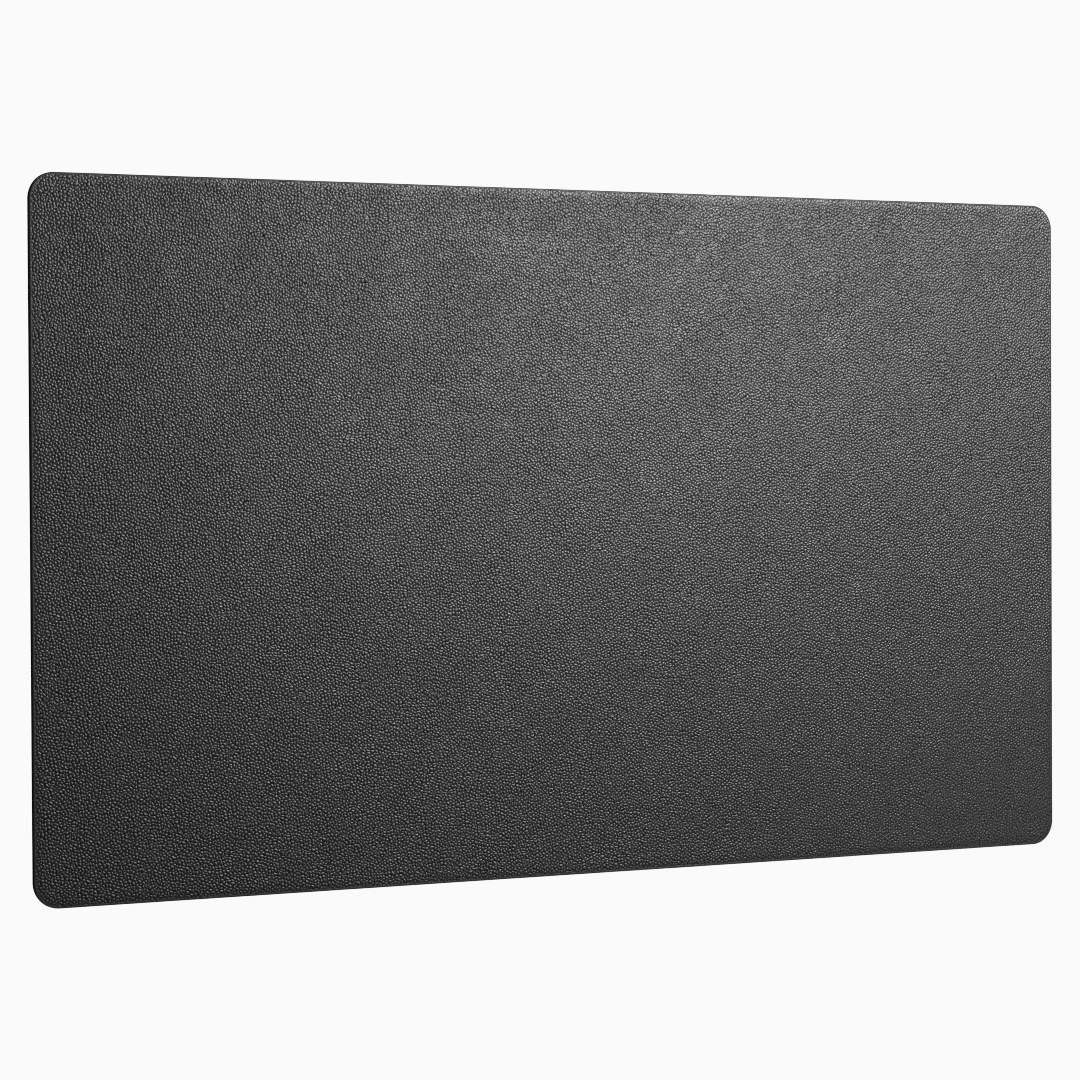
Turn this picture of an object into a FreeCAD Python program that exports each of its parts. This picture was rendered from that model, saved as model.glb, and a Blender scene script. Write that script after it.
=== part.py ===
import FreeCAD, Part
import Sketcher
import math
import os

# Desk mat: a flat, rounded-corner sheet laminate whose working face is a
# leather skin.  Millimetres, +Z up, the long side along X.  The origin is the
# centre of the underside, where the mat rests on the desk.
#
# Stack from the desk upwards: suede underside, adhesive film, core board,
# adhesive film, carrier cloth, foamed leather skin.  The skin is pressed
# thinner along its rim, so that the face rolls off towards the edge, and a
# bead of edge paint closes the cut edge of the whole stack.

doc = FreeCAD.newDocument("desk_mat")
vec = FreeCAD.Vector
UP = vec(0, 0, 1)
QUARTER_TURN = math.pi / 2.0

# Sketcher's numbers for the points of a line or arc, and for the axes
START, END, CENTRE = 1, 2, 3
X_AXIS = -1
ORIGIN = (-1, 1)


# ---------------------------------------------------------------- dimensions
# alias, value, note
DIMENSIONS = [
    ("mat_length", "600", "overall length over the edge paint, along X"),
    ("mat_width", "350", "overall width over the edge paint, along Y"),
    ("corner_radius", "13", "outer corner radius in plan"),
    ("seal_width", "0.6", "thickness of the edge paint, outwards from the stack"),
    ("underside_thick", "0.55", "suede underside sheet"),
    ("film_thick", "0.10", "each adhesive film"),
    ("core_thick", "1.10", "core board"),
    ("cloth_thick", "0.45", "carrier cloth of the leather"),
    ("skin_thick", "0.70", "foamed leather skin away from the rim"),
    ("rim_drop", "0.40", "how much thinner the skin is pressed at the edge"),
    ("rim_reach", "5.0", "width of the pressed rim"),
    ("tool_over", "1.0", "how far the pressing profile runs outside and above the skin"),
    ("seal_base", "0.10", "height of the bottom of the edge paint over the desk"),
    ("seal_top_round", "0.45", "rounding of the edge paint towards the face"),
    ("seal_low_round", "0.35", "rounding of the edge paint towards the desk"),
]
DERIVED = [
    ("lower_film_z", "=underside_thick", "bottom of the lower film"),
    ("core_z", "=lower_film_z + film_thick", "bottom of the core board"),
    ("upper_film_z", "=core_z + core_thick", "bottom of the upper film"),
    ("cloth_z", "=upper_film_z + film_thick", "bottom of the carrier cloth"),
    ("skin_z", "=cloth_z + cloth_thick", "bottom of the leather skin"),
    ("mat_height", "=skin_z + skin_thick", "height of the face"),
    ("seal_height", "=mat_height - rim_drop - seal_base", "height of the edge paint"),
    ("stack_length", "=mat_length - 2 * seal_width", "length inside the edge paint"),
    ("stack_width", "=mat_width - 2 * seal_width", "width inside the edge paint"),
    ("stack_radius", "=corner_radius - seal_width", "corner radius inside the edge paint"),
    ("rim_arc", "=(rim_reach ^ 2 + rim_drop ^ 2) / (2 * rim_drop)",
     "arc that leaves the face level and drops by rim_drop over rim_reach"),
]

dims = doc.addObject("Spreadsheet::Sheet", "dims")


def fill_rows(table, first_row):
    """Write alias, content and note of each table entry to columns A, B, C."""
    for row, (alias, content, note) in enumerate(table, start=first_row):
        dims.set("A%d" % row, alias)
        dims.set("B%d" % row, content)
        dims.setAlias("B%d" % row, alias)
        dims.set("C%d" % row, note)


fill_rows(DIMENSIONS, 1)
fill_rows(DERIVED, len(DIMENSIONS) + 2)
doc.recompute()


def value(alias):
    """The number that a named cell of the sheet holds."""
    return float(getattr(dims, alias))


# ------------------------------------------------------------------- helpers
def new_body(label):
    body = doc.addObject("PartDesign::Body", label)
    body.Label = label
    return body


def origin_plane(body, role):
    for feature in body.Origin.OriginFeatures:
        if feature.Role == role:
            return feature
    raise RuntimeError("no origin plane %s in %s" % (role, body.Label))


def new_sketch(body, name, role):
    sketch = body.newObject("Sketcher::SketchObject", name)
    sketch.AttachmentSupport = [(origin_plane(body, role), "")]
    sketch.MapMode = "FlatFace"
    return sketch


def add_line(sketch, x_from, y_from, x_to, y_to):
    segment = Part.LineSegment(vec(x_from, y_from, 0), vec(x_to, y_to, 0))
    return sketch.addGeometry(segment, False)


def add_arc(sketch, x, y, radius, first_angle, last_angle):
    circle = Part.Circle(vec(x, y, 0), UP, radius)
    return sketch.addGeometry(Part.ArcOfCircle(circle, first_angle, last_angle), False)


def constrain(sketch, *arguments):
    return sketch.addConstraint(Sketcher.Constraint(*arguments))


def drive(sketch, name, expression, *arguments):
    """Add a named dimension and bind it to an expression on the sheet."""
    sketch.renameConstraint(constrain(sketch, *arguments), name)
    sketch.setExpression("Constraints." + name, expression)


def rounded_rectangle(sketch, prefix, length, width, radius):
    """A rounded rectangle centred on the sketch origin.

    length, width and radius are aliases of the sheet.  The right-hand side is
    drawn as two lines that meet at y = 0, so that a sweep along the outline
    starts there, square to the side.
    """
    side_x = value(length) / 2.0
    side_y = value(width) / 2.0
    corner = value(radius)
    centre_x = side_x - corner
    centre_y = side_y - corner

    def corner_arc(x, y, quarter):
        first_angle = quarter * QUARTER_TURN
        return add_arc(sketch, x, y, corner, first_angle, first_angle + QUARTER_TURN)

    # anticlockwise from the middle of the right-hand side
    right_up = add_line(sketch, side_x, 0, side_x, centre_y)
    back_right = corner_arc(centre_x, centre_y, 0)
    back = add_line(sketch, centre_x, side_y, -centre_x, side_y)
    back_left = corner_arc(-centre_x, centre_y, 1)
    left = add_line(sketch, -side_x, centre_y, -side_x, -centre_y)
    front_left = corner_arc(-centre_x, -centre_y, 2)
    front = add_line(sketch, -centre_x, -side_y, centre_x, -side_y)
    front_right = corner_arc(centre_x, -centre_y, 3)
    right_low = add_line(sketch, side_x, -centre_y, side_x, 0)

    chain = [right_up, back_right, back, back_left, left,
             front_left, front, front_right, right_low]
    for piece, following in zip(chain[:-1], chain[1:]):
        constrain(sketch, "Tangent", piece, END, following, START)
    constrain(sketch, "Coincident", right_low, END, right_up, START)
    constrain(sketch, "Vertical", right_up)
    constrain(sketch, "Horizontal", back)
    # the split point of the right-hand side lies on the X axis
    constrain(sketch, "PointOnObject", right_up, START, X_AXIS)
    # centred on the origin: opposite corner arcs mirror through it
    constrain(sketch, "Symmetric", back_right, CENTRE, front_left, CENTRE, *ORIGIN)
    constrain(sketch, "Equal", back_right, back_left)
    constrain(sketch, "Equal", back_right, front_right)
    drive(sketch, prefix + "radius", "dims." + radius, "Radius", back_right, corner)
    drive(sketch, prefix + "length", "dims." + length,
          "DistanceX", left, START, right_up, START, 2 * side_x)
    drive(sketch, prefix + "width", "dims." + width,
          "DistanceY", front, START, back, START, 2 * side_y)


def outline_sketch(body, name, prefix="", length="stack_length",
                   width="stack_width", radius="stack_radius"):
    """A plan outline at the bottom of a body, by default that of the stack."""
    sketch = new_sketch(body, name, "XY_Plane")
    rounded_rectangle(sketch, prefix, length, width, radius)
    return sketch


def add_pad(body, name, outline, thickness):
    pad = body.newObject("PartDesign::Pad", name)
    pad.Profile = outline
    pad.setExpression("Length", "dims." + thickness)
    return pad


def sheet_layer(label, bottom, thickness):
    """One flat layer of the laminate, cut to the outline of the stack.

    bottom is the alias of the layer's height, or None for a layer on the desk.
    """
    body = new_body(label)
    outline = outline_sketch(body, label + "_outline")
    pad = add_pad(body, label + "_sheet", outline, thickness)
    if bottom:
        body.setExpression("Placement.Base.z", "dims." + bottom)
    doc.recompute()

    corner = value("stack_radius")
    plan_area = value("stack_length") * value("stack_width") - (4 - math.pi) * corner ** 2
    if abs(pad.Shape.Volume - plan_area * value(thickness)) > 1.0:
        raise RuntimeError("%s has the wrong volume" % label)
    return body, pad


# -------------------------------------------------------------- leather skin
def draw_rim_profile(sketch):
    """Section of the pressing tool; sketch x runs along X and sketch y along Z.

    An arc leaves the face level and drops by rim_drop at the edge of the skin;
    the section is closed outside and above the skin.
    """
    reach = value("rim_reach")
    over = value("tool_over")
    arc_radius = value("rim_arc")
    face_z = value("skin_thick")
    inner_x = value("stack_length") / 2.0 - reach
    outer_x = inner_x + reach + over
    roof_z = face_z + over
    centre_z = face_z - arc_radius
    sweep_angle = math.asin((reach + over) / arc_radius)
    low_z = centre_z + arc_radius * math.cos(sweep_angle)

    roll = add_arc(sketch, inner_x, centre_z, arc_radius,
                   QUARTER_TURN - sweep_angle, QUARTER_TURN)
    inner = add_line(sketch, inner_x, face_z, inner_x, roof_z)
    roof = add_line(sketch, inner_x, roof_z, outer_x, roof_z)
    outer = add_line(sketch, outer_x, roof_z, outer_x, low_z)

    chain = [roll, inner, roof, outer]
    for piece, following in zip(chain, chain[1:] + chain[:1]):
        constrain(sketch, "Coincident", piece, END, following, START)
    constrain(sketch, "Vertical", inner)
    constrain(sketch, "Horizontal", roof)
    constrain(sketch, "Vertical", outer)
    # the arc leaves the face level: its centre is straight below its inner end
    constrain(sketch, "Vertical", roll, CENTRE, roll, END)
    drive(sketch, "rim_radius", "dims.rim_arc", "Radius", roll, arc_radius)
    drive(sketch, "rim_start", "dims.stack_length / 2 - dims.rim_reach",
          "DistanceX", *ORIGIN, roll, END, inner_x)
    drive(sketch, "face_height", "dims.skin_thick", "DistanceY", *ORIGIN, roll, END, face_z)
    drive(sketch, "tool_width", "dims.rim_reach + dims.tool_over",
          "DistanceX", roof, START, roof, END, reach + over)
    drive(sketch, "tool_height", "dims.tool_over",
          "DistanceY", inner, START, inner, END, over)


def leather_skin():
    """The top sheet, its rim pressed thinner by a profile swept round the outline."""
    body, flat_sheet = sheet_layer("top_leather_skin", "skin_z", "skin_thick")
    path = outline_sketch(body, "rim_path")
    profile = new_sketch(body, "rim_profile", "XZ_Plane")
    draw_rim_profile(profile)
    doc.recompute()

    press = body.newObject("PartDesign::SubtractivePipe", "rim_press")
    press.Profile = profile
    press.Spine = (path, [])
    press.SpineTangent = False
    doc.recompute()

    # a shallow arc takes about reach * drop / 3 of section away all round
    pressed = flat_sheet.Shape.Volume - body.Shape.Volume
    expected = path.Shape.Length * value("rim_reach") * value("rim_drop") / 3.0
    if not 0.9 * expected < pressed < 1.1 * expected:
        raise RuntimeError("the rim lost %.1f mm3, not about %.1f" % (pressed, expected))
    return body


# ---------------------------------------------------------------- edge paint
def outer_loop(shape, height):
    """Names of the edges of the edge paint's outer outline at one height."""
    corner = value("corner_radius")
    centre_x = value("mat_length") / 2.0 - corner
    centre_y = value("mat_width") / 2.0 - corner
    names = []
    for number, edge in enumerate(shape.Edges, start=1):
        box = edge.BoundBox
        if box.ZMax - box.ZMin > 1e-6 or abs(box.ZMin - height) > 1e-6:
            continue
        middle = edge.valueAt((edge.FirstParameter + edge.LastParameter) / 2.0)
        # distance outside the rectangle through the corner centres: the corner
        # radius on the outer outline, less by seal_width on the inner one
        distance = math.hypot(max(abs(middle.x) - centre_x, 0.0),
                              max(abs(middle.y) - centre_y, 0.0))
        if abs(distance - corner) < value("seal_width") / 2.0:
            names.append("Edge%d" % number)
    return names


def round_outline(body, name, base, height, radius):
    """Fillet the outer outline of the ring at one height."""
    edges = outer_loop(base.Shape, height)
    if len(edges) != 8:  # four sides and four corners
        raise RuntimeError("%s found %d edges" % (name, len(edges)))
    fillet = body.newObject("PartDesign::Fillet", name)
    fillet.Base = (base, edges)
    fillet.setExpression("Radius", "dims." + radius)
    doc.recompute()
    return fillet


def edge_paint():
    """A bead round the cut edge, flush with the skin's pressed edge.

    It stays a little clear of the desk and is rounded at top and bottom.
    """
    body = new_body("edge_paint_seal")
    outline = outline_sketch(body, "seal_outline", "outer_",
                             "mat_length", "mat_width", "corner_radius")
    block = add_pad(body, "seal_block", outline, "seal_height")
    doc.recompute()

    core_outline = outline_sketch(body, "seal_core", "inner_")
    opening = body.newObject("PartDesign::Pocket", "seal_opening")
    opening.Profile = core_outline
    opening.Type = "ThroughAll"
    opening.Reversed = True
    body.setExpression("Placement.Base.z", "dims.seal_base")
    doc.recompute()

    top = round_outline(body, "seal_top_rounding", opening,
                        value("seal_height"), "seal_top_round")
    low = round_outline(body, "seal_low_rounding", top, 0.0, "seal_low_round")

    volumes = [feature.Shape.Volume for feature in (block, opening, top, low)]
    if not all(later < earlier for earlier, later in zip(volumes, volumes[1:])):
        raise RuntimeError("a feature of the edge paint cut nothing: %s" % volumes)
    return body


# --------------------------------------------------------------------- build
# flat layers from the desk upwards: label, alias of the bottom, alias of the thickness
FLAT_LAYERS = [
    ("underside_suede_sheet", None, "underside_thick"),
    ("lower_adhesive_film", "lower_film_z", "film_thick"),
    ("core_board", "core_z", "core_thick"),
    ("upper_adhesive_film", "upper_film_z", "film_thick"),
    ("leather_carrier_cloth", "cloth_z", "cloth_thick"),
]
parts = [sheet_layer(*layer)[0] for layer in FLAT_LAYERS]
parts.append(leather_skin())
parts.append(edge_paint())

# -------------------------------------------------------------------- checks
for obj in doc.Objects:
    bad = [word for word in obj.State if word in ("Invalid", "Error")]
    if bad:
        raise RuntimeError("%s did not build: %s" % (obj.Label, ", ".join(bad)))

for body in parts:
    shape = body.Shape
    if shape.isNull() or not shape.isValid() or len(shape.Solids) != 1:
        raise RuntimeError("%s is not one valid solid" % body.Label)

# -------------------------------------------------------------------- output
os.makedirs("parts", exist_ok=True)
for body in parts:
    body.Shape.exportStep(os.path.join("parts", body.Label + ".step"))
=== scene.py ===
"""Looks of the desk mat: a pebble-grained leather-look sheet laminate with a painted edge.

Metres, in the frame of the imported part: +Z up out of the working face, +X along the long side.
Left is -X, right is +X, near is -Y and far is +Y. Meshes are worked out in millimetres.
Every pattern comes from numpy and shader nodes with fixed seeds.
"""

import math

import bpy
import numpy as np
from mathutils import Matrix, Vector


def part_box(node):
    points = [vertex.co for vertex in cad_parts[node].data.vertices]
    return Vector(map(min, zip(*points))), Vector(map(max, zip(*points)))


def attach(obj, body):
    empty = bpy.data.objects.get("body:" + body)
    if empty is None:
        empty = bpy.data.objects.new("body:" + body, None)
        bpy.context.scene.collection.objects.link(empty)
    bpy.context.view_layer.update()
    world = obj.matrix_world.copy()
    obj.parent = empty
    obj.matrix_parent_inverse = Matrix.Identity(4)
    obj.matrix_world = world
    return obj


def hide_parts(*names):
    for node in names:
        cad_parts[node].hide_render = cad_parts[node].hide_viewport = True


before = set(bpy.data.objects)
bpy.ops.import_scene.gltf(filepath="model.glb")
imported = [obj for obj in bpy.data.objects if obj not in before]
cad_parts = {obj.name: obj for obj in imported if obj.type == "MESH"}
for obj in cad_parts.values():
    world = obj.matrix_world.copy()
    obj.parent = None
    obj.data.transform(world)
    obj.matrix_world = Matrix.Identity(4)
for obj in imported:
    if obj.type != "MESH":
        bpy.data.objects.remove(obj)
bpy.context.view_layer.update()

MM = 0.001

# ---------------------------------------------------------------------------
# sizes read from the frame (millimetres)
# ---------------------------------------------------------------------------
skin_lo, skin_hi = (np.array(corner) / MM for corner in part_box("top_leather_skin"))
seal_lo, seal_hi = (np.array(corner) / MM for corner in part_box("edge_paint_seal"))
under_lo, under_hi = (np.array(corner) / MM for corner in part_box("underside_suede_sheet"))

HALF_X = float(skin_hi[0] - skin_lo[0]) / 2.0           # half length of the cut sheets
HALF_Y = float(skin_hi[1] - skin_lo[1]) / 2.0           # half width of the cut sheets
SEAL_W = float(seal_hi[0] - skin_hi[0])                 # edge paint, outwards
CORNER = 13.0                                           # outer corner radius in plan
SHEET_R = CORNER - SEAL_W                               # corner radius of the cut sheets
Z_FACE = float(skin_hi[2])                              # tops of the pebbles
Z_SKIN = float(skin_lo[2])                              # underside of the skin
Z_RIM = float(seal_hi[2])                               # pressed rim, where the paint starts
Z_SEAL = float(seal_lo[2])                              # bottom of the paint
RIM_DROP = Z_FACE - Z_RIM
RIM_REACH = 5.0
RIM_ARC = (RIM_REACH ** 2 + RIM_DROP ** 2) / (2.0 * RIM_DROP)

# periodic noise maps that cover the face: spacing in mm, then samples along x and y
COARSE_MAP = (2.0, 384, 256)
FINE_MAP = (0.5, 1296, 768)
MAP_MARGIN = 60.0
MAP_X = -HALF_X - MAP_MARGIN
MAP_Y = -HALF_Y - MAP_MARGIN


# ---------------------------------------------------------------------------
# noise and plan shape
# ---------------------------------------------------------------------------
def noise_map(grid, wave_x, wave_y, size, seed):
    """Periodic Gaussian-filtered noise of deviation `size`; waves are feature sizes in mm."""
    step, count_x, count_y = grid
    rng = np.random.default_rng(seed)
    field = rng.standard_normal((count_y, count_x))
    freq_x = np.fft.rfftfreq(count_x, step)[None, :]
    freq_y = np.fft.fftfreq(count_y, step)[:, None]
    spectrum = np.fft.rfft2(field) * np.exp(
        -0.5 * ((freq_x * wave_x) ** 2 + (freq_y * wave_y) ** 2) * 1.8)
    spectrum[0, 0] = 0
    field = np.fft.irfft2(spectrum, s=field.shape)
    return field / field.std() * size


def sample(field, x, y, grid):
    """Bilinear look-up of a noise map at points in mm."""
    step, count_x, count_y = grid
    x = (x - MAP_X) / step
    y = (y - MAP_Y) / step
    i = np.floor(x).astype(np.int64)
    j = np.floor(y).astype(np.int64)
    x = x - i
    y = y - j
    i0, i1, j0, j1 = i % count_x, (i + 1) % count_x, j % count_y, (j + 1) % count_y
    return ((field[j0, i0] * (1 - x) + field[j0, i1] * x) * (1 - y)
            + (field[j1, i0] * (1 - x) + field[j1, i1] * x) * y)


def smoothstep(value):
    return value * value * (3 - 2 * value)


def depth_inside(x, y):
    """Distance in from the outline of the cut sheets, positive inside."""
    over_x = np.abs(x) - (HALF_X - SHEET_R)
    over_y = np.abs(y) - (HALF_Y - SHEET_R)
    return (SHEET_R - np.hypot(np.maximum(over_x, 0), np.maximum(over_y, 0))
            - np.minimum(np.maximum(over_x, over_y), 0))


def rim_roll(run):
    """How far the face has rolled down, `run` mm outwards of where the rim begins."""
    return RIM_ARC - np.sqrt(RIM_ARC ** 2 - run ** 2)


def outline(step, arc_parts):
    """Anticlockwise outline of the cut sheets from the middle of the right side, and its
    outward normals."""
    points, normals = [], []

    def straight(start, end, normal):
        count = max(1, int(round(math.hypot(end[0] - start[0], end[1] - start[1]) / step)))
        for k in range(count):
            t = k / count
            points.append((start[0] + (end[0] - start[0]) * t,
                           start[1] + (end[1] - start[1]) * t))
            normals.append(normal)

    core_x, core_y = HALF_X - SHEET_R, HALF_Y - SHEET_R
    # start and end of a side, its normal, centre of the corner that follows it
    runs = (
        ((HALF_X, 0), (HALF_X, core_y), (1, 0), (core_x, core_y)),
        ((core_x, HALF_Y), (-core_x, HALF_Y), (0, 1), (-core_x, core_y)),
        ((-HALF_X, core_y), (-HALF_X, -core_y), (-1, 0), (-core_x, -core_y)),
        ((-core_x, -HALF_Y), (core_x, -HALF_Y), (0, -1), (core_x, -core_y)),
    )
    for quarter, (start, end, normal, centre) in enumerate(runs):
        straight(start, end, normal)
        for k in range(arc_parts):
            angle = quarter * math.pi / 2 + (math.pi / 2) * k / arc_parts
            cos, sin = math.cos(angle), math.sin(angle)
            points.append((centre[0] + SHEET_R * cos, centre[1] + SHEET_R * sin))
            normals.append((cos, sin))
    straight((HALF_X, -core_y), (HALF_X, 0), (1, 0))
    return np.array(points), np.array(normals)


def loop_lengths(points):
    """Distance of each point along a closed loop, and the length of the whole loop."""
    run = np.concatenate([[0], np.cumsum(np.hypot(*np.diff(points, axis=0).T))])
    return run, run[-1] + np.hypot(*(points[0] - points[-1]))


# ---------------------------------------------------------------------------
# mesh helpers
# ---------------------------------------------------------------------------
def zigzag(points):
    """Triangles across the convex outline, facing down, begun in the middle of a corner arc
    so that no triangle lies along a straight side."""
    count = len(points)
    first = int(np.argmax(points[:, 0] - points[:, 1]))
    tris = []
    low, high = 0, count - 1
    while high - low > 1:
        tris.append((low, high, low + 1))
        low += 1
        if high - low > 1:
            tris.append((low, high, high - 1))
            high -= 1
    return (np.array(tris) + first) % count


def wall(upper, lower, count):
    """Outward quads between two rings, given by their first vertices."""
    k = np.arange(count)
    after = (k + 1) % count
    return np.column_stack([upper + k, lower + k, lower + after, upper + after])


def mesh_from(name, verts, parts):
    """A mesh from vertices in mm and (faces, smooth) parts."""
    loops = np.concatenate([faces.ravel() for faces, _ in parts])
    sizes = np.concatenate([np.full(len(faces), faces.shape[1]) for faces, _ in parts])
    smooth = np.concatenate([np.broadcast_to(flag, len(faces)) for faces, flag in parts])
    mesh = bpy.data.meshes.new(name)
    mesh.vertices.add(len(verts))
    mesh.vertices.foreach_set("co", (verts * MM).astype(np.float32).ravel())
    mesh.loops.add(len(loops))
    mesh.loops.foreach_set("vertex_index", loops.astype(np.int32))
    mesh.polygons.add(len(sizes))
    starts = np.concatenate([[0], np.cumsum(sizes)[:-1]])
    mesh.polygons.foreach_set("loop_start", starts.astype(np.int32))
    mesh.update(calc_edges=True)
    mesh.polygons.foreach_set("use_smooth", smooth)
    mesh.validate(clean_customdata=False)
    mesh.update()
    return mesh


CHART_START, CHART_SPAN = 0.004, 0.992      # charts across the texture
MAIN_CHART = (0.004, 0.886)                 # start and span up the texture of the largest one


def plan_chart(verts, faces, rows):
    """UVs of flat-lying faces, seen in plan, in rows (start, span) of the texture."""
    corners = verts[faces.ravel()]
    across = (corners[:, 0] + HALF_X) / (2 * HALF_X)
    up = (corners[:, 1] + HALF_Y) / (2 * HALF_Y)
    return np.column_stack([CHART_START + CHART_SPAN * across, rows[0] + rows[1] * up])


def wall_chart(count, levels, rows):
    """UVs of stacked walls; levels are the rings' places within the rows (start, span)."""
    k = np.arange(count)
    across = CHART_START + CHART_SPAN * (np.stack([k, k, k + 1, k + 1], 1) / count).ravel()
    charts = []
    for upper, lower in zip(levels[:-1], levels[1:]):
        up = np.tile([upper, lower, lower, upper], count)
        charts.append(np.column_stack([across, rows[0] + rows[1] * up]))
    return np.concatenate(charts)


def add_uv(mesh, coords):
    layer = mesh.uv_layers.new(name="OFBake")
    layer.data.foreach_set("uv", coords.astype(np.float32).ravel())


# ---------------------------------------------------------------------------
# pebbled grain, as a height map of the whole face
# ---------------------------------------------------------------------------
PITCH = 1.78            # spacing of the pebbles
ROW_STEP = PITCH * 0.866
GRAIN_DEPTH = 0.42      # pebble top to crease
STEP = 0.33             # spacing of the face mesh
JITTER = 0.80           # disorder of the pebbles, of one spacing
HEIGHT_SPREAD = 0.04    # how far the pebble tops differ
DOME = 0.70             # crease to crown of a pebble
CREASE = 0.05           # half width of a crease's floor
SOFT = 0.09             # rounding of everything
EVEN_BELOW = 0.20       # variation of fewer cycles per mm than this is evened out
FLOW = 9.0              # how strongly the lines of pebbles bend
TURN = -24.0            # direction the pebbles are lined up in, degrees
STRETCH = 1.05          # pebbles a little longer along that direction
OVER = 2                # oversampling of the height map, filtered away afterwards
BAND_ROWS = 160         # rows worked out at a time, to save memory

NX = int(round(2 * HALF_X / STEP))
NY = int(round(2 * HALF_Y / STEP))


def warp_maps():
    """Coarse and fine shifts of the pebble lattice, as two (x, y) pairs of noise maps."""
    # flow of the grain: an area-preserving warp, so that pebbles stretch without growing
    stream = (noise_map(COARSE_MAP, wave_x=52, wave_y=52, size=FLOW, seed=11)
              + noise_map(COARSE_MAP, wave_x=16, wave_y=16, size=0.9, seed=12))
    flow_x = np.gradient(stream, COARSE_MAP[0], axis=0)
    flow_y = -np.gradient(stream, COARSE_MAP[0], axis=1)
    # slow change of pebble size
    flow_x = flow_x + noise_map(COARSE_MAP, wave_x=34, wave_y=34, size=0.35, seed=13)
    # fine irregularity of each pebble's outline
    ragged = [noise_map(FINE_MAP, wave_x=2.2, wave_y=2.2, size=0.16, seed=seed)
              for seed in (14, 15)]
    return (flow_x, flow_y), ragged


def grain_height():
    """Pebble height, 0 in the creases and about 1 on the tops, on the face grid (NY+1, NX+1)."""
    count_x, count_y = NX * OVER + 1, NY * OVER + 1
    grid_x = np.linspace(-HALF_X, HALF_X, count_x)
    grid_y = np.linspace(-HALF_Y, HALF_Y, count_y)
    flow, ragged = warp_maps()

    # pebble centres in a disordered hexagonal lattice, kept as flat tables for speed
    reach = math.hypot(HALF_X, HALF_Y) * STRETCH + 30.0
    cols = int(2 * reach / PITCH) + 8
    rows = int(2 * reach / ROW_STEP) + 8
    rng = np.random.default_rng(21)
    jitter = rng.random((rows, cols, 3)).astype(np.float32)
    seed_x = ((np.arange(cols, dtype=np.float32)[None, :] + 0.5
               + 0.5 * (np.arange(rows)[:, None] & 1)
               + (jitter[..., 0] - 0.5) * JITTER) * PITCH).astype(np.float32).ravel()
    seed_y = ((np.arange(rows, dtype=np.float32)[:, None] + 0.5
               + (jitter[..., 1] - 0.5) * JITTER) * ROW_STEP).astype(np.float32).ravel()
    crown = (1.0 + (jitter[..., 2] - 0.5) * 2 * HEIGHT_SPREAD).astype(np.float32).ravel()
    cos = np.float32(math.cos(math.radians(TURN)))
    sin = np.float32(math.sin(math.radians(TURN)))

    out = np.zeros((count_y, count_x), np.float32)
    for start in range(0, count_y, BAND_ROWS):
        x, y = np.meshgrid(grid_x, grid_y[start:start + BAND_ROWS])
        along, across = (
            place + sample(coarse, x, y, COARSE_MAP) + sample(fine, x, y, FINE_MAP)
            for place, coarse, fine in zip((x, y), flow, ragged))
        along, across = ((cos * along + sin * across) / STRETCH,
                         (cos * across - sin * along) * STRETCH)
        along = (along + reach).astype(np.float32)
        across = (across + reach).astype(np.float32)

        # nearest and second nearest centre, by squared distance
        home_row = np.floor(across / ROW_STEP).astype(np.int32)
        near_dist = np.full(along.shape, 1e9, np.float32)
        next_dist = np.full(along.shape, 1e9, np.float32)
        nearest = np.zeros(along.shape, np.int32)
        second = np.zeros(along.shape, np.int32)
        for dj in (-1, 0, 1):
            j = np.clip(home_row + dj, 0, rows - 1)
            home_col = np.floor(along / PITCH - (j & 1) * np.float32(0.5)).astype(np.int32)
            for di in (-1, 0, 1):
                k = j * cols + np.clip(home_col + di, 0, cols - 1)
                dist = (seed_x[k] - along) ** 2 + (seed_y[k] - across) ** 2
                closer = dist < near_dist
                between = (~closer) & (dist < next_dist)
                next_dist = np.where(closer, near_dist, np.where(between, dist, next_dist))
                second = np.where(closer, nearest, np.where(between, k, second))
                near_dist = np.where(closer, dist, near_dist)
                nearest = np.where(closer, k, nearest)
        gap = np.hypot(seed_x[nearest] - seed_x[second], seed_y[nearest] - seed_y[second])
        to_crease = (next_dist - near_dist) / (2.0 * np.maximum(gap, 0.05))     # mm
        rise = np.clip((to_crease - CREASE) / DOME, 0, 1)
        dome = rise * (2.0 - rise)
        out[start:start + BAND_ROWS] = dome * crown[nearest]

    # soften, and even out the middle distance so that no blotches of high or low pebbles remain
    freq_x = np.fft.rfftfreq(count_x, 2 * HALF_X / (count_x - 1))[None, :]
    freq_y = np.fft.fftfreq(count_y, 2 * HALF_Y / (count_y - 1))[:, None]
    soften = np.exp(-2.0 * (math.pi * SOFT) ** 2 * (freq_x ** 2 + freq_y ** 2))
    even = 1.0 - np.exp(-(freq_x ** 2 + freq_y ** 2) / EVEN_BELOW ** 2)
    even[0, 0] = 1.0
    out = np.fft.irfft2(np.fft.rfft2(out) * soften * even, s=out.shape)
    return out[::OVER, ::OVER]


# ---------------------------------------------------------------------------
# leather skin: the grained face, its cut side and its flat underside
# ---------------------------------------------------------------------------
SHALLOW = 0.45                          # how much shallower the grain is at the near right corner
SHALLOW_AT = (330.0, -200.0)            # middle of that shallow patch
SHALLOW_REACH = (330.0, 190.0)          # its half axes
RELIEF_RANGE = (0.45, 1.35)             # limits of the grain's relative depth
FADE_FROM, FADE_OVER = 0.08, 0.60       # the grain dies out this near the cut
PRESS_REACH, PRESSED = 4.0, 0.58        # ironed flatter along the rim: reach, depth at the cut
SWELL_SINK = 0.06                       # slow waviness is lowered by this
CALM_REACH = 12.0                       # and dies out over this towards the cut
FINE_HEIGHT = 0.006                     # roughness finer than the pebbles
TOP_GRAIN = 1.02                        # grain value that lies level with the face
GRAIN_MAX = 1.2
RIM_GRAIN = 0.8                         # grain value along the cut
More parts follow.
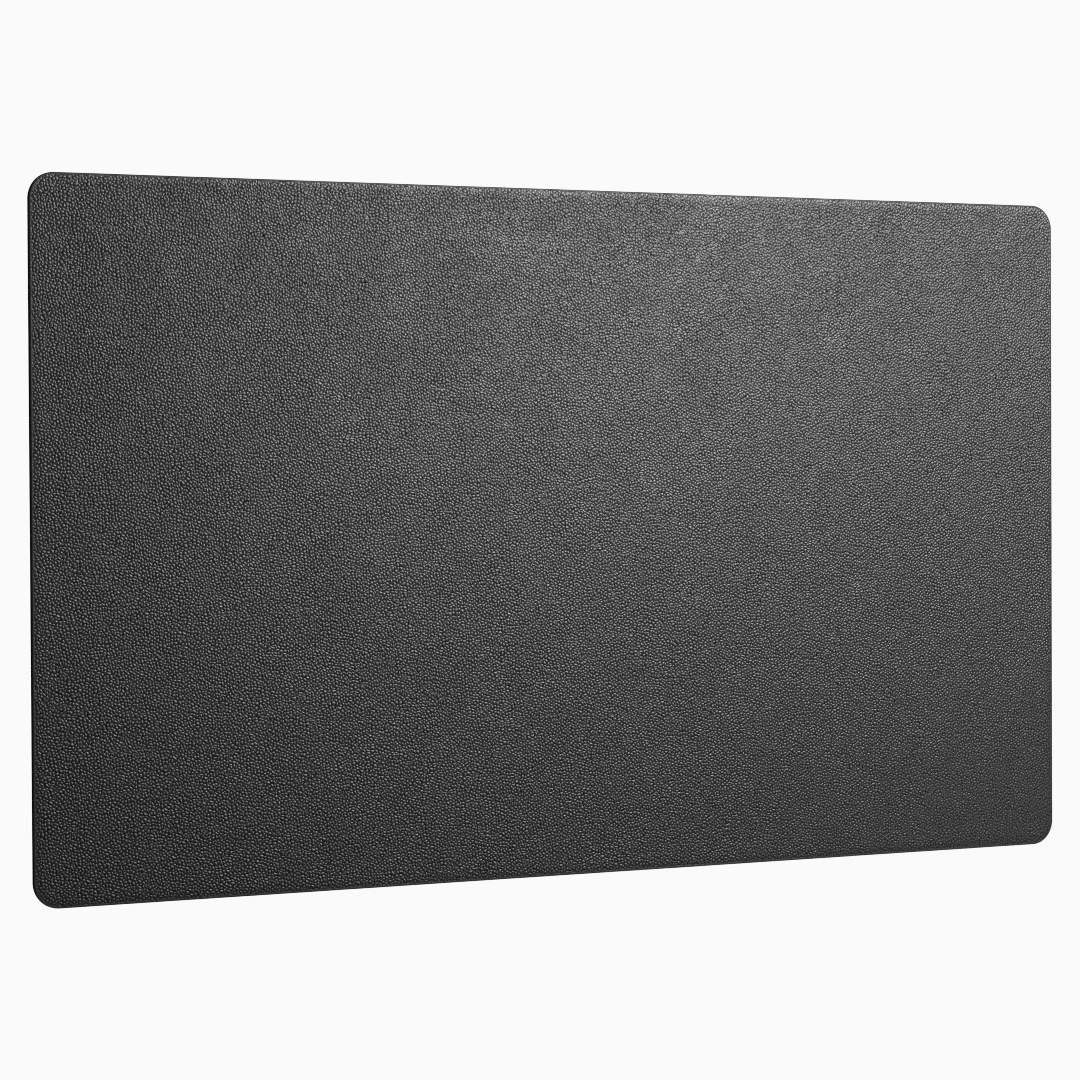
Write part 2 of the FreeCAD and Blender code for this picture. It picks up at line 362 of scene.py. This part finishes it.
MIN_SKIN = 0.04                         # least thickness of the skin


def face_height_function():
    """The function height(x, y, grain) of the face, in mm."""
    # grain pressed shallower in soft patches, and in faint bands across the roll
    relief = (noise_map(COARSE_MAP, wave_x=26, wave_y=26, size=0.05, seed=31)
              + noise_map(COARSE_MAP, wave_x=22, wave_y=120, size=0.015, seed=32))
    step, count_x, count_y = COARSE_MAP
    map_x, map_y = np.meshgrid(MAP_X + step * np.arange(count_x),
                               MAP_Y + step * np.arange(count_y))
    corner = np.clip(1.0 - np.hypot((map_x - SHALLOW_AT[0]) / SHALLOW_REACH[0],
                                    (map_y - SHALLOW_AT[1]) / SHALLOW_REACH[1]), 0, 1)
    relief = np.clip(1.0 + relief, *RELIEF_RANGE) * (1.0 - SHALLOW * smoothstep(corner))
    swell = (noise_map(COARSE_MAP, wave_x=60, wave_y=60, size=0.030, seed=33)
             + noise_map(COARSE_MAP, wave_x=22, wave_y=160, size=0.004, seed=34))
    fine = noise_map(FINE_MAP, wave_x=1.0, wave_y=1.0, size=1.0, seed=35)

    def height(x, y, grain):
        depth = depth_inside(x, y)
        roll = rim_roll(np.clip(RIM_REACH - depth, 0, RIM_REACH))
        fade = smoothstep(np.clip((depth - FADE_FROM) / FADE_OVER, 0, 1))
        press = np.clip(depth / PRESS_REACH, 0, 1)
        fade = fade * (PRESSED + (1 - PRESSED) * smoothstep(press))
        wavy = sample(swell, x, y, COARSE_MAP) - SWELL_SINK
        calm = np.clip(depth / CALM_REACH, 0, 1)
        z = (Z_FACE - roll + np.minimum(wavy, 0.0) * calm
             - GRAIN_DEPTH * sample(relief, x, y, COARSE_MAP) * fade
             * np.clip(TOP_GRAIN - grain, 0, GRAIN_MAX)
             + sample(fine, x, y, FINE_MAP) * FINE_HEIGHT * fade)
        return np.maximum(z, Z_SKIN + MIN_SKIN)

    return height


def face_grid(height):
    """Vertices, grain values and quads of the face grid well inside the outline."""
    x, y = np.meshgrid(np.linspace(-HALF_X, HALF_X, NX + 1),
                       np.linspace(-HALF_Y, HALF_Y, NY + 1))
    grain = grain_height()
    keep = depth_inside(x, y) > 0.55 * max(2 * HALF_X / NX, 2 * HALF_Y / NY)
    z = height(x, y, grain)
    index = -np.ones(keep.shape, np.int64)
    index[keep] = np.arange(int(keep.sum()))
    verts = np.column_stack([x[keep], y[keep], z[keep]])
    j, i = np.nonzero(keep[:-1, :-1] & keep[1:, :-1] & keep[:-1, 1:] & keep[1:, 1:])
    quads = np.column_stack([index[j, i], index[j, i + 1], index[j + 1, i + 1], index[j + 1, i]])

    # drop the vertices that no cell uses
    used = np.zeros(len(verts), bool)
    used[quads.ravel()] = True
    renumber = np.cumsum(used) - 1
    return verts[used], grain[keep][used], renumber[quads]


def grid_border(verts, quads):
    """The grid's own boundary, anticlockwise from the middle of the right side."""
    edges = np.concatenate([quads[:, pair] for pair in ([0, 1], [1, 2], [2, 3], [3, 0])])
    forward = edges[:, 0] * len(verts) + edges[:, 1]
    backward = edges[:, 1] * len(verts) + edges[:, 0]
    border = edges[~np.isin(forward, backward)]
    follow = dict(zip(border[:, 0].tolist(), border[:, 1].tolist()))
    ends = verts[border[:, 0]]
    start = int(border[np.argmin(np.abs(ends[:, 1]) - ends[:, 0]), 0])
    loop = [start]
    while (following := follow[loop[-1]]) != start:
        loop.append(following)
    return loop


def zip_loops(inner, outer, plan):
    """Triangles between two loops of vertices, always across the shorter diagonal."""
    shift = int(np.argmin(np.hypot(*(plan[outer] - plan[inner[0]]).T)))
    tris = []
    i = j = 0
    while i < len(inner) or j < len(outer):
        here_in, next_in = inner[i % len(inner)], inner[(i + 1) % len(inner)]
        here_out = outer[(shift + j) % len(outer)]
        next_out = outer[(shift + j + 1) % len(outer)]
        step_in = np.hypot(*(plan[next_in] - plan[here_out])) if i < len(inner) else 1e9
        step_out = np.hypot(*(plan[here_in] - plan[next_out])) if j < len(outer) else 1e9
        if step_in <= step_out:
            tris.append((here_in, here_out, next_in))
            i += 1
        else:
            tris.append((here_in, here_out, next_out))
            j += 1
    return np.array(tris)


def build_skin():
    height = face_height_function()
    verts, grain, quads = face_grid(height)
    inner = grid_border(verts, quads)

    # the cut outline at face level and again at the underside, so that the skin is closed
    points, _ = outline(step=STEP, arc_parts=48)
    count = len(points)
    rim_grain = np.full(count, RIM_GRAIN)
    rim_z = height(points[:, 0], points[:, 1], rim_grain)
    top = len(verts)
    low = top + count
    verts = np.vstack([verts, np.column_stack([points, rim_z]),
                       np.column_stack([points, np.full(count, Z_SKIN)])])
    grain = np.concatenate([grain, rim_grain, np.zeros(count)])
    seam = zip_loops(inner, list(range(top, low)), verts[:, :2])
    side = wall(top, low, count)
    base = low + zigzag(points)
    mesh = mesh_from("grain_leather_skin", verts,
                     [(quads, True), (seam, True), (side, False), (base, False)])

    # one chart for the face, one strip for the side and one chart for the underside
    add_uv(mesh, np.concatenate([
        plan_chart(verts, quads, MAIN_CHART),
        plan_chart(verts, seam, MAIN_CHART),
        wall_chart(count, levels=(1.0, 0.0), rows=(0.900, 0.015)),
        plan_chart(verts, base, rows=(0.925, 0.070)),
    ]))
    attribute = mesh.attributes.new("grain", "FLOAT", "POINT")
    attribute.data.foreach_set("value", np.clip(grain, 0, GRAIN_MAX).astype(np.float32))
    return mesh


# ---------------------------------------------------------------------------
# edge paint: a bead swept round the outline
# ---------------------------------------------------------------------------
LOW_ROUND = 0.42                        # rounding towards the desk
TOP_ROUND_W, TOP_ROUND_H = 0.55, 0.555  # rounding towards the face: width and height
TOP_ROUND_DROP = 0.50                   # where it starts, below the rim
# lip of paint that laps over the face: outwards of the cut, above the face
LIP = ((-0.08, 0.040), (-0.18, 0.026), (-0.26, 0.006), (-0.31, -0.020), (-0.24, -0.060))
# swelling and thinning along the run: waves round the mat, height of each in mm
BEAD_WAVES = ((9, 0.010), (23, 0.010), (61, 0.008), (140, 0.006))
BEAD_TRIM = 0.030                       # keeps the swollen bead within its width
LANES = 24                              # strips that the chart is cut into


def bead_section():
    """Section (outwards, up), anticlockwise when looking along the outline."""
    section = [(0.0, Z_SEAL + 0.02)]
    for k in range(7):
        angle = -math.pi / 2 + (math.pi / 2) * k / 6
        section.append((SEAL_W - LOW_ROUND + LOW_ROUND * math.cos(angle),
                        Z_SEAL + LOW_ROUND + LOW_ROUND * math.sin(angle)))
    section.append((SEAL_W, (Z_SEAL + Z_RIM) / 2))
    for k in range(9):
        angle = (math.pi / 2) * k / 8
        section.append((SEAL_W - TOP_ROUND_W + TOP_ROUND_W * math.cos(angle),
                        Z_RIM - TOP_ROUND_DROP + TOP_ROUND_H * math.sin(angle)))
    for out, above in LIP:
        section.append((out, Z_FACE - rim_roll(RIM_REACH + out) + above))
    section.append((0.0, Z_RIM - 0.12))
    return np.array(section)


def build_seal():
    points, normals = outline(step=1.5, arc_parts=40)
    section = bead_section()
    count, ring = len(points), len(section)

    # brushed on by hand: the bead swells and thins a little along its run
    run, total = loop_lengths(points)
    rng = np.random.default_rng(44)
    wave = np.zeros(count)
    for waves, size in BEAD_WAVES:
        wave += size * np.sin(2 * math.pi * (waves * run / total + rng.random()))
    wave = wave[:, None]
    base_out, base_up = section.T
    out = (base_out + wave * np.where(base_out < 0, 0.8, 1.0) * np.where(base_out == 0.0, 0, 1)
           - BEAD_TRIM * np.clip(base_out / SEAL_W, 0, 1))
    near_top = np.clip((base_up - Z_RIM + 0.2) / 0.2, 0, 1)
    up = base_up + wave * 0.6 * near_top * (base_out > -0.20)
    verts = np.stack([points[:, :1] + normals[:, :1] * out,
                      points[:, 1:] + normals[:, 1:] * out, up], 2).reshape(-1, 3)

    k = np.repeat(np.arange(count), ring)
    j = np.tile(np.arange(ring), count)
    next_k, next_j = (k + 1) % count, (j + 1) % ring
    quads = np.column_stack([k * ring + j, next_k * ring + j,
                             next_k * ring + next_j, k * ring + next_j])
    hidden = j >= ring - 2
    mesh = mesh_from("painted_edge", verts, [(quads, ~hidden)])

    # the strip is cut into lanes for its chart
    length, girth = loop_lengths(section)
    around = np.append(length, girth) / girth
    lane = (k * LANES) // count
    first = np.array([int(math.ceil(i * count / LANES)) for i in range(LANES + 1)])
    span = (first[lane + 1] - first[lane]).astype(float)
    left = (k - first[lane]) / span
    right = (k + 1 - first[lane]) / span
    low, high = around[j], around[j + 1]
    across = 0.006 + 0.988 * np.stack([left, right, right, left], 1)
    rows = (lane[:, None] + 0.06 + 0.88 * np.stack([low, low, high, high], 1)) / LANES
    add_uv(mesh, np.stack([across, rows], 2))
    return mesh


# ---------------------------------------------------------------------------
# underside: a soft sheet with a slightly rounded cut edge
# ---------------------------------------------------------------------------
def build_underside():
    points, normals = outline(step=2.0, arc_parts=32)
    count = len(points)
    low, high = float(under_lo[2]), float(under_hi[2])
    # inset from the cut, height
    rings = [(0.0, high), (0.0, low + 0.16), (0.025, low + 0.08), (0.08, low + 0.025),
             (0.17, low)]
    last = len(rings) - 1
    verts = np.concatenate([np.column_stack([points - normals * inset, np.full(count, z)])
                            for inset, z in rings])
    side = np.concatenate([wall(k * count, (k + 1) * count, count) for k in range(last)])
    flat = zigzag(points)
    top, bottom = flat[:, ::-1], last * count + flat
    mesh = mesh_from("suede_sheet", verts, [(side, False), (top, False), (bottom, False)])

    # charts: the cut edge as a strip, the bonded side small, the nap side large
    add_uv(mesh, np.concatenate([
        wall_chart(count, levels=np.arange(last + 1) / last, rows=(0.975, 0.020)),
        plan_chart(verts, top, rows=(0.900, 0.066)),
        plan_chart(verts, bottom, MAIN_CHART),
    ]))
    return mesh


# ---------------------------------------------------------------------------
# node helpers
# ---------------------------------------------------------------------------
class Graph:
    """An emptied node tree, with short calls for the nodes used here."""

    def __init__(self, tree):
        self.tree = tree
        tree.nodes.clear()

    def connect(self, node, inputs):
        """Link or set inputs, given as {name or number: socket or value}."""
        for key, value in inputs.items():
            if isinstance(value, bpy.types.NodeSocket):
                self.tree.links.new(value, node.inputs[key])
            else:
                node.inputs[key].default_value = value

    def node(self, kind, inputs=None, **settings):
        node = self.tree.nodes.new("ShaderNode" + kind)
        for key, value in settings.items():
            setattr(node, key, value)
        self.connect(node, inputs or {})
        return node

    def position(self, scale=(1.0, 1.0, 1.0)):
        """Object position in metres, scaled."""
        place = self.node("TexCoord").outputs["Object"]
        return self.node("Mapping", {"Scale": scale, "Vector": place}).outputs["Vector"]

    def noise(self, vector, scale, detail, rough):
        return self.node("TexNoise", {"Scale": scale, "Detail": detail, "Roughness": rough,
                                      "Vector": vector}).outputs["Fac"]

    def remap(self, value, source, target):
        """Carry the range `source` over to `target`, clamped."""
        return self.node("MapRange", {
            "From Min": source[0], "From Max": source[1],
            "To Min": target[0], "To Max": target[1], "Value": value}).outputs["Result"]

    def math(self, operation, first, second):
        return self.node("Math", {0: first, 1: second}, operation=operation).outputs["Value"]

    def mix(self, factor, low, high):
        """Mix two colours; inputs 6 and 7 and output 2 are the node's colour sockets."""
        return self.node("Mix", {"Factor": factor, 6: low, 7: high},
                         data_type="RGBA").outputs[2]

    def bump(self, height, strength, distance, normal=None):
        inputs = {"Strength": strength, "Distance": distance, "Height": height}
        if normal is not None:
            inputs["Normal"] = normal
        return self.node("Bump", inputs).outputs["Normal"]


def new_material(name):
    """A material, its emptied node graph and its principled surface."""
    material = bpy.data.materials.new(name)
    material.use_nodes = True
    graph = Graph(material.node_tree)
    surface = graph.node("BsdfPrincipled")
    graph.node("OutputMaterial", {"Surface": surface.outputs["BSDF"]})
    return material, graph, surface


def grey(value):
    return (value, value, value, 1)


# ---------------------------------------------------------------------------
# materials
# ---------------------------------------------------------------------------
CREASE_SHADE_RAMP = (0.10, 0.38)               # grain values from crease to pebble top, over which the painted shade of the creases fades out
CREASE_SHADE_AND_ROUGH_RAMP = (CREASE_SHADE_RAMP[0], CREASE_SHADE_RAMP[1] + 0.2)


def leather_material():
    material, graph, surface = new_material("grain_leather")
    place = graph.position()
    grain = graph.node("Attribute", attribute_name="grain",
                       attribute_type="GEOMETRY").outputs["Fac"]

    # colour: painted shade, near black in the creases and greyer on the pebble tops; mottled over
    # centimetres
    top = graph.remap(grain, source=CREASE_SHADE_AND_ROUGH_RAMP, target=(0.0, 1.0))
    colour = graph.mix(top, low=grey(0.0010), high=grey(0.016))
    cloudy = graph.noise(place, scale=22.0, detail=4.0, rough=0.6)
    colour = graph.mix(graph.remap(cloudy, source=(0.3, 0.7), target=(0.0, 0.12)),
                       low=colour, high=(0.012, 0.012, 0.0122, 1))
    speck = graph.noise(place, scale=1500.0, detail=2.0, rough=0.5)
    colour = graph.mix(graph.remap(speck, source=(0.60, 0.80), target=(0.0, 0.12)),
                       low=colour, high=(0.045, 0.045, 0.046, 1))

    # roughness: satin tops, duller creases, small drift from place to place
    rough = graph.remap(grain, source=CREASE_SHADE_AND_ROUGH_RAMP, target=(0.55, 0.46))
    drift = graph.noise(place, scale=34.0, detail=3.0, rough=0.6)
    drift = graph.remap(drift, source=(0.3, 0.7), target=(-0.018, 0.018))
    micro = graph.noise(place, scale=2600.0, detail=2.0, rough=0.5)
    micro = graph.remap(micro, source=(0.3, 0.7), target=(-0.05, 0.05))
    rough = graph.math("ADD", graph.math("ADD", rough, drift), micro)

    # hairline wrinkles and pores, finer than the pebbles
    pores = graph.node("TexVoronoi", {"Scale": 2400.0, "Vector": place}, feature="F1")
    wrinkle = graph.noise(place, scale=1900.0, detail=3.0, rough=0.6)
    normal = graph.bump(wrinkle, strength=0.30, distance=0.00006)
    normal = graph.bump(pores.outputs["Distance"], strength=0.20, distance=0.00003,
                        normal=normal)
    # specular level is lowered in the creases as painted shade
    graph.connect(surface, {
        "Base Color": colour, "Roughness": rough, "Normal": normal,
        "Specular IOR Level": graph.remap(grain, source=CREASE_SHADE_RAMP, target=(0.0, 0.50))})
    return material


def seal_material():
    material, graph, surface = new_material("edge_paint")
    place = graph.position()
    streak = graph.noise(graph.position(scale=(1.0, 1.0, 6.0)),
                         scale=260.0, detail=3.0, rough=0.6)
    colour = graph.mix(streak, low=(0.0045, 0.0045, 0.0047, 1), high=(0.011, 0.011, 0.0115, 1))
    rub = graph.noise(place, scale=90.0, detail=4.0, rough=0.65)
    colour = graph.mix(graph.remap(rub, source=(0.60, 0.80), target=(0.0, 0.45)),
                       low=colour, high=grey(0.022))
    rough = graph.noise(place, scale=420.0, detail=3.0, rough=0.6)
    uneven = graph.noise(place, scale=900.0, detail=2.0, rough=0.5)
    graph.connect(surface, {
        "Base Color": colour,
        "Roughness": graph.remap(rough, source=(0.3, 0.7), target=(0.50, 0.62)),
        "Specular IOR Level": 0.30,
        "Normal": graph.bump(uneven, strength=0.12, distance=0.00005)})
    return material


def suede_material():
    material, graph, surface = new_material("suede_underside")
    place = graph.position()
    # the nap lies one way in some strokes and the other way in others
    strokes = graph.noise(graph.position(scale=(1.0, 0.35, 1.0)),
                          scale=26.0, detail=4.0, rough=0.62)
    colour = graph.mix(graph.remap(strokes, source=(0.38, 0.62), target=(0.0, 1.0)),
                       low=(0.030, 0.030, 0.032, 1), high=(0.058, 0.058, 0.061, 1))
    fibre = graph.noise(graph.position(scale=(1.0, 0.45, 1.0)),
                        scale=2200.0, detail=3.0, rough=0.7)
    colour = graph.mix(graph.remap(fibre, source=(0.35, 0.70), target=(0.0, 0.75)),
                       low=colour, high=(0.095, 0.095, 0.099, 1))
    normal = graph.bump(fibre, strength=0.55, distance=0.00012)
    tufts = graph.noise(place, scale=520.0, detail=3.0, rough=0.6)
    normal = graph.bump(tufts, strength=0.30, distance=0.00010, normal=normal)
    graph.connect(surface, {
        "Base Color": colour,
        "Roughness": graph.remap(strokes, source=(0.3, 0.7), target=(0.98, 0.84)),
        "Specular IOR Level": 0.25, "Sheen Weight": 0.35, "Sheen Roughness": 0.45,
        "Normal": normal})
    return material


def cloth_material():
    material, graph, surface = new_material("carrier_cloth")
    place = graph.position()
    threads = [graph.node("TexWave", {"Scale": 420.0, "Distortion": 1.2, "Detail": 2.0,
                                      "Vector": place},
                          wave_type="BANDS", bands_direction=axis).outputs["Fac"]
               for axis in "XY"]
    knit = graph.math("MULTIPLY", *threads)
    graph.connect(surface, {
        "Base Color": graph.mix(knit, low=(0.16, 0.16, 0.165, 1), high=(0.40, 0.40, 0.41, 1)),
        "Roughness": graph.remap(knit, source=(0.0, 1.0), target=(0.95, 0.80)),
        "Normal": graph.bump(knit, strength=0.6, distance=0.0001)})
    return material


def core_material():
    material, graph, surface = new_material("fibre_board")
    flecks = graph.noise(graph.position(), scale=700.0, detail=5.0, rough=0.7)
    graph.connect(surface, {
        "Base Color": graph.mix(
            graph.remap(flecks, source=(0.35, 0.65), target=(0.0, 1.0)),
            low=(0.10, 0.070, 0.050, 1), high=(0.26, 0.20, 0.15, 1)),
        "Roughness": graph.remap(flecks, source=(0.3, 0.7), target=(0.95, 0.80)),
        "Normal": graph.bump(flecks, strength=0.5, distance=0.0001)})
    return material


def film_material():
    material, graph, surface = new_material("bonding_film")
    place = graph.position()
    ripple = graph.noise(place, scale=120.0, detail=3.0, rough=0.5)
    uneven = graph.noise(place, scale=900.0, detail=2.0, rough=0.5)
    graph.connect(surface, {
        "Base Color": graph.mix(ripple, low=(0.62, 0.56, 0.42, 1), high=(0.80, 0.76, 0.64, 1)),
        "Roughness": graph.remap(ripple, source=(0.3, 0.7), target=(0.50, 0.30)),
        "Normal": graph.bump(uneven, strength=0.25, distance=0.00005)})
    return material


# ---------------------------------------------------------------------------
# build the pieces
# ---------------------------------------------------------------------------
def add_object(name, data):
    obj = bpy.data.objects.new(name, data)
    bpy.context.scene.collection.objects.link(obj)
    return obj


def add_piece(mesh, name, material, node):
    obj = add_object(name, mesh)
    mesh.materials.append(material)
    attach(obj, "root")
    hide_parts(node)
    return obj


add_piece(build_skin(), "grain_leather_face", leather_material(),
          node="top_leather_skin")
seal = add_piece(build_seal(), "painted_edge_bead", seal_material(),
                 node="edge_paint_seal")
under = add_piece(build_underside(), "suede_back_sheet", suede_material(),
                  node="underside_suede_sheet")

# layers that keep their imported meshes
for make_material, layers in (
        (cloth_material, ("leather_carrier_cloth",)),
        (core_material, ("core_board",)),
        (film_material, ("upper_adhesive_film", "lower_adhesive_film"))):
    layer_material = make_material()
    for layer_name in layers:
        for material_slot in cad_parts[layer_name].material_slots:
            material_slot.material = layer_material

# ---------------------------------------------------------------------------
# floor and world
# ---------------------------------------------------------------------------
WHITE = 0.9560          # pale grey-white of a studio sweep
FLOOR_HALF = 14.0
FLOOR_Z = -0.0002
ROOM = 0.006            # dim studio around the set
WALL = 0.60             # low wall of light, for flat viewing angles


def build_floor():
    """A glowing floor seen only by the camera, and clear from below."""
    mesh = bpy.data.meshes.new("studio_floor")
    mesh.from_pydata([(x * FLOOR_HALF, y * FLOOR_HALF, FLOOR_Z)
                      for x, y in ((-1, -1), (1, -1), (1, 1), (-1, 1))], [], [(0, 1, 2, 3)])
    floor = add_object("studio_floor", mesh)
    material = bpy.data.materials.new("pale_floor")
    material.use_nodes = True
    graph = Graph(material.node_tree)
    glow = graph.node("Emission", {"Color": grey(WHITE)})
    clear = graph.node("BsdfTransparent")
    mixed = graph.node("MixShader", {
        "Fac": graph.node("NewGeometry").outputs["Backfacing"],
        1: glow.outputs["Emission"], 2: clear.outputs["BSDF"]})
    graph.node("OutputMaterial", {"Surface": mixed.outputs["Shader"]})
    mesh.materials.append(material)
    floor.visible_diffuse = False
    floor.visible_glossy = False
    floor.visible_transmission = False
    floor.visible_shadow = False


def build_world():
    """Flat white to the camera; a dim room with a low far-left wall of light to all else."""
    world = bpy.data.worlds.new("studio")
    bpy.context.scene.world = world
    world.use_nodes = True
    graph = Graph(world.node_tree)
    split = graph.node("SeparateXYZ", {"Vector": graph.node("TexCoord").outputs["Generated"]})
    x, y, z = (split.outputs[axis] for axis in "XYZ")
    side = graph.math("ADD", graph.math("MULTIPLY", x, -0.8), graph.math("MULTIPLY", y, 0.6))
    wall_rows = graph.math("MULTIPLY",
                           graph.remap(z, source=(0.0, 0.08), target=(0.0, 1.0)),
                           graph.remap(z, source=(0.34, 0.58), target=(1.0, 0.0)))
    wall_light = graph.math(
        "MULTIPLY", graph.remap(side, source=(-0.25, 0.65), target=(0.0, WALL)), wall_rows)
    room = graph.node("Background", {"Color": grey(1),
                                     "Strength": graph.math("ADD", wall_light, ROOM)})
    flat = graph.node("Background", {"Color": grey(WHITE)})
    mixed = graph.node("MixShader", {
        "Fac": graph.node("LightPath").outputs["Is Camera Ray"],
        1: room.outputs["Background"], 2: flat.outputs["Background"]})
    graph.node("OutputWorld", {"Surface": mixed.outputs["Shader"]})


build_floor()
build_world()


# ---------------------------------------------------------------------------
# lights
# ---------------------------------------------------------------------------
def add_light(name, kind, place, aim, power):
    """A light at a place in metres, aimed at a point."""
    light = bpy.data.lights.new(name, kind)
    light.energy = power
    obj = add_object(name, light)
    obj.location = place
    obj.rotation_euler = (Vector(place) - Vector(aim)).to_track_quat("Z", "Y").to_euler()
    return obj


def area(name, place, aim, size, power, only=None):
    """A soft box; with `only`, it reaches that piece and nothing else."""
    obj = add_light(name, "AREA", place, aim, power)
    obj.data.shape = "RECTANGLE"
    obj.data.size, obj.data.size_y = size
    if only is not None:
        group = bpy.data.collections.new("lit_by_" + name)
        group.objects.link(only)
        obj.light_linking.receiver_collection = group


# above and to the far right of the mat
area("key_softbox", place=(0.59, 0.43, 0.76), aim=(0.0, 0.0, 0.0), size=(0.22, 0.22), power=16.5)
# weak, beyond the near right corner
area("fill_panel", place=(1.08, -0.40, 0.95), aim=(0.25, -0.12, 0.0), size=(0.5, 0.5), power=1.5)
# weak, behind the far edge
area("far_softbox", place=(0.45, 0.60, 0.85), aim=(0.0, 0.10, 0.0), size=(0.25, 0.25), power=3.0)

# soft-edged accent on part of the face
accent = add_light("accent_spot", "SPOT", place=(0.52, 0.44, 0.80), aim=(0.0, 0.15, 0.0),
                   power=26.0).data
accent.spot_size = math.radians(27.0)
accent.spot_blend = 1.0
accent.shadow_soft_size = 0.11

# one for the underside, then the painted edge from near right, far left and near left
area("underside_panel", place=(0.25, -0.45, -0.75), aim=(0.0, 0.0, 0.0), size=(0.9, 0.9),
     power=9.0, only=under)
area("edge_panel", place=(0.80, -0.95, 0.30), aim=(0.0, 0.0, 0.0), size=(0.6, 0.4),
     power=5.0, only=seal)
area("rim_panel_far", place=(-0.55, 0.95, 0.42), aim=(-0.30, 0.16, 0.0), size=(0.3, 0.3),
     power=3.0, only=seal)
area("rim_panel_near", place=(-0.60, -0.90, 0.25), aim=(-0.28, -0.17, 0.0), size=(0.4, 0.3),
     power=3.0, only=seal)

# ---------------------------------------------------------------------------
# camera and render settings
# ---------------------------------------------------------------------------
CAMERA_AT = Vector((-0.99273908, 0.03745996, 1.71257307))
CAMERA_RIGHT = Vector((0.86989407, -0.00499262, 0.49321333))
CAMERA_BACK = Vector((-0.49302264, 0.02078575, 0.86976815))

camera = bpy.data.cameras.new("camera")
camera.sensor_width = 36.0
camera.lens = 128.906667
camera.clip_start = 0.05
camera.clip_end = 60.0
camera_object = add_object("camera", camera)
back = CAMERA_BACK.normalized()
up = back.cross(CAMERA_RIGHT.normalized()).normalized()
right = up.cross(back).normalized()
turn = Matrix((right, up, back)).transposed().to_4x4()
camera_object.matrix_world = Matrix.Translation(CAMERA_AT) @ turn

scene = bpy.context.scene
scene.camera = camera_object
scene.cycles.use_denoising = False
scene.cycles.filter_width = 1.0
scene.view_settings.view_transform = "Standard"
scene.view_settings.look = "None"
scene.view_settings.exposure = 0.0
scene.view_settings.gamma = 1.0
